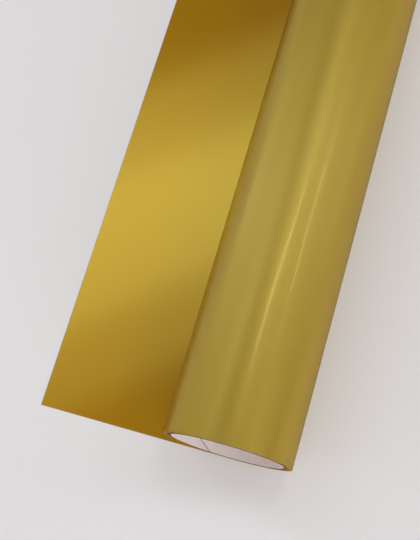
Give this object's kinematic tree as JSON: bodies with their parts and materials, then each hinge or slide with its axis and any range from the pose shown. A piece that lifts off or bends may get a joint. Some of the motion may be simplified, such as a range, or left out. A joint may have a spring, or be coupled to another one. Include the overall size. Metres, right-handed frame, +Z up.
{
  "type": "roll of sign vinyl",
  "caption": "Self-adhesive sign vinyl wound on a paper core, gold face in and clear liner out, with its free end drawn out flat.",
  "frame": {"origin": "bottom centre of the whole object, on the table that the roll and its free end lie on", "axes": "+Z up, +Y along the roll's axis from the near end to the far end, free end of the web towards -X"},
  "size_m": [0.1907, 0.61, 0.0899],
  "materials": {
    "gold_film": "metallic gold film, satin gloss, adhesive on its back",
    "release_liner": "clear glossy polyester liner, showing the film's back through it",
    "white_paper": "smooth white liner ply, matte",
    "kraft_board": "brown kraft plies, matte, sawn at the ends",
    "tape": "masking tape, matte"
  },
  "bodies": {
    "outer_turn": {"outer_turn_liner": "release_liner", "outer_turn_film": "gold_film"},
    "roll": {"core_inner_ply": "white_paper", "core_body_ply_1": "kraft_board", "core_body_ply_2": "kraft_board", "core_body_ply_3": "kraft_board", "core_outer_ply": "kraft_board", "start_tape": "tape", "wound_liner": "release_liner", "wound_film": "gold_film"},
    "free_web": {"free_liner": "release_liner", "free_film": "gold_film"},
    "web_end": {"lift_liner": "release_liner", "lift_film": "gold_film"},
    "film_end": {"peel_film": "gold_film"}
  },
  "joints": [
    {"name": "roll_turn", "type": "hinge", "parent": "outer_turn", "child": "roll", "pos_m": [0.0504, 0, 0.045], "axis": [0, 1, 0], "range_deg": [0, 360]},
    {"name": "web_pull", "type": "slide", "parent": "outer_turn", "child": "free_web", "axis": [-1, 0, 0], "range_m": [0, 0.283]},
    {"name": "web_lift", "type": "hinge", "parent": "free_web", "child": "web_end", "pos_m": [-0.0294, 0, 0.00023], "axis": [0, 1, 0], "range_deg": [0, 90]},
    {"name": "film_peel", "type": "hinge", "parent": "web_end", "child": "film_end", "pos_m": [-0.0604, 0, 0.00023], "axis": [0, 1, 0], "range_deg": [0, 135]}
  ],
  "couplings": [
    {"joint": "web_pull", "follows": "roll_turn", "m_per_rad": 0.04488}
  ]
}
